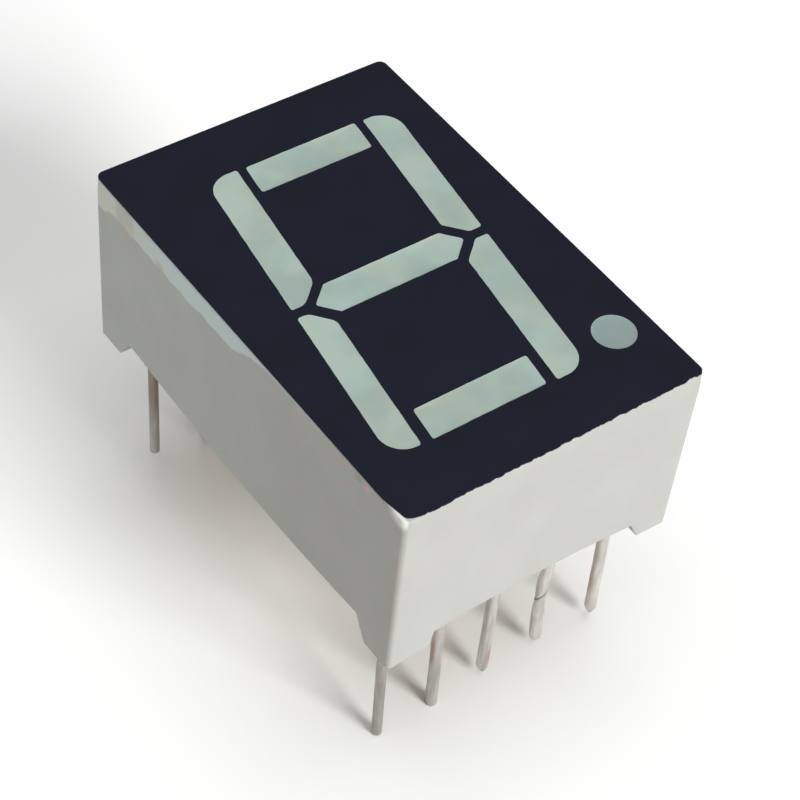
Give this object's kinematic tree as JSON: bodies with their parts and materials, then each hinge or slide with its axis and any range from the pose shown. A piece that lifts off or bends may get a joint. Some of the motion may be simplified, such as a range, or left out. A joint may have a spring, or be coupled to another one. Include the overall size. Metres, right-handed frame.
{
  "type": "seven segment display",
  "caption": "Seven segment light display: a white moulded reflector with a dark face, a leaning digit, a decimal point and two rows of round pins.",
  "frame": {"origin": "centre of the pin pattern, on the plane of the casing's four feet (the plane of the circuit board that it is soldered to)", "axes": "+Z out of the display's face, +Y towards the top of the digit, +X to the digit's right"},
  "size_m": [0.0126, 0.019, 0.0148],
  "materials": {
    "white_plastic": "fine moulded texture, slightly warm light grey",
    "dark_print": "very dark blue-black ink, satin",
    "cast_resin": "milky grey-green epoxy, gloss where it was cast against film",
    "board_laminate": "pale paper-and-glass laminate",
    "copper": "thin copper, slightly dulled",
    "solder": "bright flowed tin",
    "silver_glue": "matt silver-filled glue",
    "tinned_pin": "tin-plated wire with faint drawing marks",
    "light_chip": "dark red crystal with sawn sides",
    "gold_wire": "fine gold wire"
  },
  "bodies": {
    "root": {"housing": "white_plastic", "face_print": "dark_print", "cast_resin": "cast_resin", "circuit_board": "board_laminate", "front_tracks": "copper", "plated_holes": "copper", "solder_joints": "solder", "die_bonds": "silver_glue", "pin_1": "tinned_pin", "pin_2": "tinned_pin", "pin_3": "tinned_pin", "pin_4": "tinned_pin", "pin_5": "tinned_pin", "pin_6": "tinned_pin", "pin_7": "tinned_pin", "pin_8": "tinned_pin", "pin_9": "tinned_pin", "pin_10": "tinned_pin", "chip_a": "light_chip", "chip_b": "light_chip", "chip_c": "light_chip", "chip_d": "light_chip", "chip_e": "light_chip", "chip_f": "light_chip", "chip_g": "light_chip", "chip_point": "light_chip", "wire_a": "gold_wire", "wire_b": "gold_wire", "wire_c": "gold_wire", "wire_d_bar": "gold_wire", "wire_e": "gold_wire", "wire_f": "gold_wire", "wire_g": "gold_wire", "wire_point": "gold_wire"}
  },
  "joints": []
}
